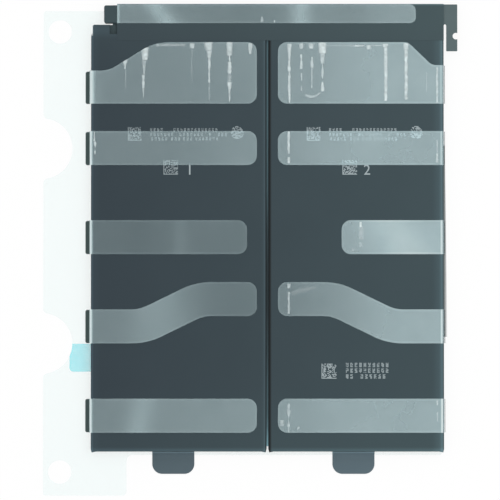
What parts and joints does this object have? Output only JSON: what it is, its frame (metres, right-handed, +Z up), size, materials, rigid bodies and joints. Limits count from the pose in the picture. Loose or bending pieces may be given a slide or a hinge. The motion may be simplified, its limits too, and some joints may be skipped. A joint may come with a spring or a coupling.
{
  "type": "tablet battery",
  "caption": "Flat two-cell pouch battery for a tablet on its carrier liner, with clear stretch-release strips, a board bar with a connector arm, and lift tabs.",
  "frame": {"origin": "on the carrier liner's underside, below the gap between the cells and half way along the cell bodies", "axes": "+X across the cells towards the connector arm, +Y along the cells towards the board, +Z up out of the adhesive side"},
  "size_m": [0.1245, 0.1477, 0.0037],
  "materials": {
    "pouch_laminate": "charcoal laminated pouch foil with a satin nylon skin",
    "adhesive_film": "clear stretch-release adhesive film, hazy over the dark face",
    "black_tape": "thin black polyester tape, satin",
    "wrap_film": "thin charcoal insulating film, satin",
    "cover_moulding": "black moulded plastic, fine matt",
    "solder_mask": "grey-black solder mask on glass-epoxy board",
    "lift_tab_film": "grey polyester film, satin",
    "release_liner": "clear silicone-coated release film",
    "blue_tab_film": "clear pale blue film",
    "chip_epoxy": "black moulded epoxy",
    "resistor_metal": "plain metal shunt",
    "capacitor_body": "tan ceramic chips",
    "contact_gilt": "gold-plated contact",
    "lead_aluminium": "rolled aluminium strip",
    "lead_nickel": "nickel-plated copper strip",
    "seal_film": "translucent polymer lead film"
  },
  "bodies": {
    "root": {"carrier_liner": "release_liner", "liner_pull_tab": "blue_tab_film", "cell_joining_tape": "black_tape", "left_cell": "pouch_laminate", "right_cell": "pouch_laminate", "board_cover": "cover_moulding", "protection_board": "solder_mask", "gauge_chip": "chip_epoxy", "protection_fets": "chip_epoxy", "sense_resistor": "resistor_metal", "board_capacitors": "capacitor_body", "thermistor": "chip_epoxy", "contact_pads": "contact_gilt", "board_wrap_film": "wrap_film", "board_adhesive_strip": "adhesive_film", "side_fold_tape": "black_tape", "left_lift_tab": "lift_tab_film", "right_lift_tab": "lift_tab_film", "left_positive_lead": "lead_aluminium", "left_positive_lead_seal": "seal_film", "left_negative_lead": "lead_nickel", "left_negative_lead_seal": "seal_film", "left_strip_1": "adhesive_film", "left_pull_tab_1": "black_tape", "left_strip_2": "adhesive_film", "left_pull_tab_2": "black_tape", "left_strip_3": "adhesive_film", "left_pull_tab_3": "black_tape", "left_strip_4": "adhesive_film", "left_pull_tab_4": "black_tape", "left_strip_5": "adhesive_film", "left_pull_tab_5": "black_tape", "right_positive_lead": "lead_aluminium", "right_positive_lead_seal": "seal_film", "right_negative_lead": "lead_nickel", "right_negative_lead_seal": "seal_film", "right_strip_1": "adhesive_film", "right_pull_tab_1": "black_tape", "right_strip_2": "adhesive_film", "right_pull_tab_2": "black_tape", "right_strip_3": "adhesive_film", "right_pull_tab_3": "black_tape", "right_strip_4": "adhesive_film", "right_pull_tab_4": "black_tape", "right_strip_5": "adhesive_film", "right_pull_tab_5": "black_tape"}
  },
  "joints": []
}
